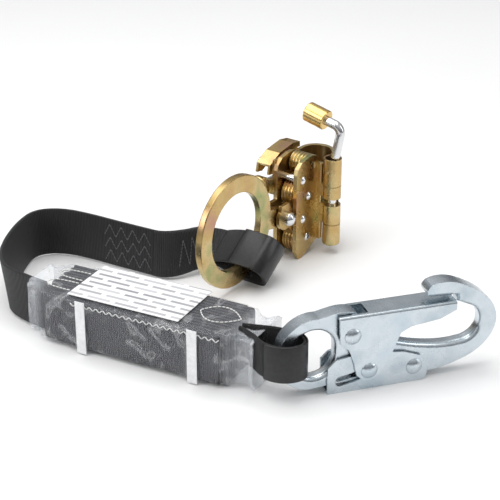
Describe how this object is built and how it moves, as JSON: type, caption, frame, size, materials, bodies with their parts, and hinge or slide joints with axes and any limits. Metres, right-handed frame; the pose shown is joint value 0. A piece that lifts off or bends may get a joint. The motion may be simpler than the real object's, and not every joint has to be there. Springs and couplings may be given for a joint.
{
  "type": "rope grab",
  "caption": "Rope grab for a vertical lifeline with a hinged rope cover, ring lever and cam, on a shock-absorbing webbing lanyard with a double-locking snap hook.",
  "frame": {"origin": "the middle of the rope channel's axis, 38 mm above the floor the part stands on", "axes": "+Z along the rope, upwards; +X from the ring lever towards the rope; -Y is the side of the cover's hinge"},
  "size_m": [0.234, 0.3219, 0.1051],
  "materials": {
    "zinc_yellow": "yellow zinc plated",
    "zinc_silver": "bright zinc plated",
    "bright_steel": "turned and polished",
    "brass": "turned",
    "webbing": "ribbed black webbing",
    "pack_webbing": "ribbed dark webbing",
    "sleeve": "smooth black sleeve",
    "clear_wrap": "clear shrink film",
    "label": "white label"
  },
  "bodies": {
    "lanyard": {"strap_web": "webbing", "strap_splice": "webbing", "ring_loop_web": "webbing", "ring_loop_sleeve": "sleeve", "hook_loop_web": "webbing", "hook_loop_sleeve": "sleeve", "pack_folded_web": "pack_webbing", "pack_outer_web": "pack_webbing", "pack_wrap": "clear_wrap", "pack_label": "label", "pack_bands": "label"},
    "ring_lever": {"ring_lever": "zinc_yellow", "cam": "zinc_yellow", "ring_bolt": "bright_steel", "ring_bolt_washers": "bright_steel", "ring_bolt_nut": "bright_steel"},
    "grab_frame": {"side_plate_near": "zinc_yellow", "side_plate_far": "zinc_yellow", "plate_rivets": "bright_steel", "middle_roller_axle": "bright_steel", "top_roller_axle": "bright_steel", "cam_pivot_pin": "bright_steel", "hinge_pin": "bright_steel", "latch_bracket": "zinc_yellow", "latch_pivot_pin": "bright_steel", "plunger_spring": "bright_steel"},
    "middle_roller": {"middle_roller": "zinc_yellow"},
    "top_roller": {"top_roller": "zinc_yellow"},
    "cover": {"rope_cover": "zinc_yellow", "gravity_lever_pin": "bright_steel"},
    "gravity_lever": {"gravity_lever_rod": "bright_steel", "gravity_weight": "brass"},
    "latch_lever": {"latch_lever": "zinc_yellow"},
    "latch_plunger": {"latch_plunger": "bright_steel", "latch_knob": "zinc_yellow"},
    "hook": {"hook_body": "zinc_silver", "hook_gate_rivet": "zinc_silver", "hook_lever_rivet": "zinc_silver"},
    "gate": {"hook_gate": "zinc_silver", "hook_lock_rivet": "zinc_silver", "gate_spring": "bright_steel"},
    "lock_lever": {"hook_lock_lever": "zinc_silver", "lock_lever_spring": "bright_steel"}
  },
  "joints": [
    {"name": "ring_in_loop", "type": "hinge", "parent": "lanyard", "child": "ring_lever", "pos_m": [-0.07656, 0, -0.02234], "axis": [0, 0, 1], "range_deg": [0, 10]},
    {"name": "cam_pivot", "type": "hinge", "parent": "ring_lever", "child": "grab_frame", "pos_m": [-0.024, 0, -0.0245], "axis": [0, 1, 0], "range_deg": [0, 45]},
    {"name": "middle_roller_spin", "type": "hinge", "parent": "grab_frame", "child": "middle_roller", "pos_m": [-0.0226, 0, 0.0055], "axis": [0, 1, 0], "continuous": true},
    {"name": "top_roller_spin", "type": "hinge", "parent": "grab_frame", "child": "top_roller", "pos_m": [-0.018, 0, 0.026], "axis": [0, 1, 0], "continuous": true},
    {"name": "cover_hinge", "type": "hinge", "parent": "grab_frame", "child": "cover", "pos_m": [-0.011, -0.0205, 0], "axis": [0, 0, -1], "range_deg": [0, 100]},
    {"name": "gravity_lever_swing", "type": "hinge", "parent": "cover", "child": "gravity_lever", "pos_m": [-0.011, -0.0205, 0.023], "axis": [-1, 0, 0], "range_deg": [0, 22]},
    {"name": "latch_lift", "type": "hinge", "parent": "grab_frame", "child": "latch_lever", "pos_m": [-0.031, 0.018, 0.025], "axis": [0, -1, 0], "range_deg": [0, 20], "stiffness_Nm_per_rad": 0.02},
    {"name": "plunger_pull", "type": "slide", "parent": "grab_frame", "child": "latch_plunger", "axis": [-1, 0, 0], "range_m": [0, 0.005], "stiffness_N_per_m": 250},
    {"name": "hook_in_loop", "type": "hinge", "parent": "lanyard", "child": "hook", "pos_m": [-0.18577, -0.10096, -0.008], "axis": [0, 0, 1], "range_deg": [-8, 8]},
    {"name": "gate_open", "type": "hinge", "parent": "hook", "child": "gate", "pos_m": [-0.15462, -0.12442, -0.001], "axis": [0.6018, 0.7986, 0], "range_deg": [0, 22], "stiffness_Nm_per_rad": 0.3, "springref_deg": -11.46},
    {"name": "lock_lever_squeeze", "type": "hinge", "parent": "hook", "child": "lock_lever", "pos_m": [-0.12307, -0.1482, -0.0282], "axis": [0.6018, 0.7986, 0], "range_deg": [0, 3], "stiffness_Nm_per_rad": 2, "springref_deg": -5.73}
  ],
  "couplings": [
    {"joint": "lock_lever_squeeze", "follows": "gate_open", "ratio": 0.13636}
  ]
}
